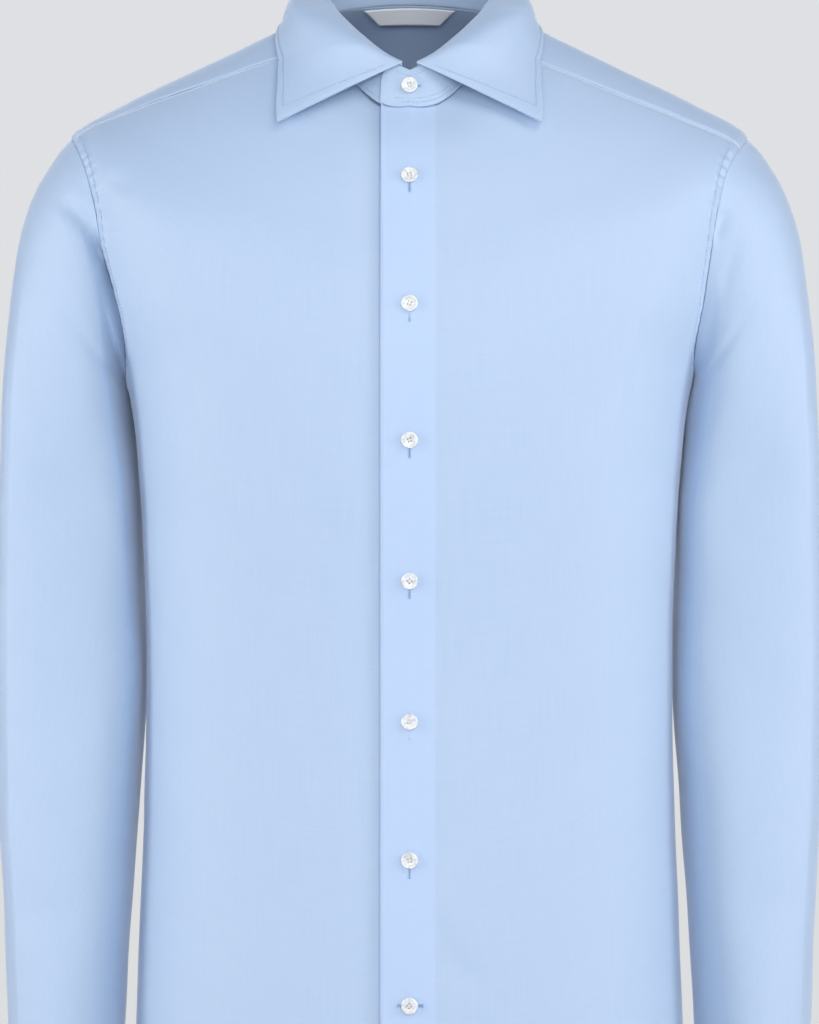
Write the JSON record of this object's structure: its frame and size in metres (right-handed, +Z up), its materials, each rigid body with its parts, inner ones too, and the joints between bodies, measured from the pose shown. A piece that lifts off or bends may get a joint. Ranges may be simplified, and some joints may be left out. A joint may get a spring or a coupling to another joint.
{
  "type": "long sleeve dress shirt",
  "caption": "Men's slim dress shirt, filled out with no wearer: hollow body, long sleeves with buttoned cuffs, yoke, spread collar on a band, and a plain button front.",
  "frame": {"origin": "middle of the neck opening, level with the side neck points, where the yoke rests on the wearer", "axes": "+Z up the body, -Y out of the front, +X towards the wearer's left"},
  "size_m": [0.5569, 0.2515, 0.8224],
  "materials": {
    "shirting": "fine cotton twill, light blue",
    "button": "pearly, four holes",
    "label": "white satin, blank"
  },
  "bodies": {
    "root": {"front_left": "shirting", "front_right": "shirting", "back": "shirting", "yoke": "shirting", "sleeve_left": "shirting", "sleeve_right": "shirting", "sleeve_placket_left": "shirting", "sleeve_placket_right": "shirting", "cuff_left": "shirting", "cuff_right": "shirting", "collar_band": "shirting", "collar_leaf": "shirting", "button_collar": "button", "button_front_1": "button", "button_front_2": "button", "button_front_3": "button", "button_front_4": "button", "button_front_5": "button", "button_front_6": "button", "button_front_7": "button", "button_cuff_left": "button", "button_cuff_right": "button", "label": "label"}
  },
  "joints": []
}
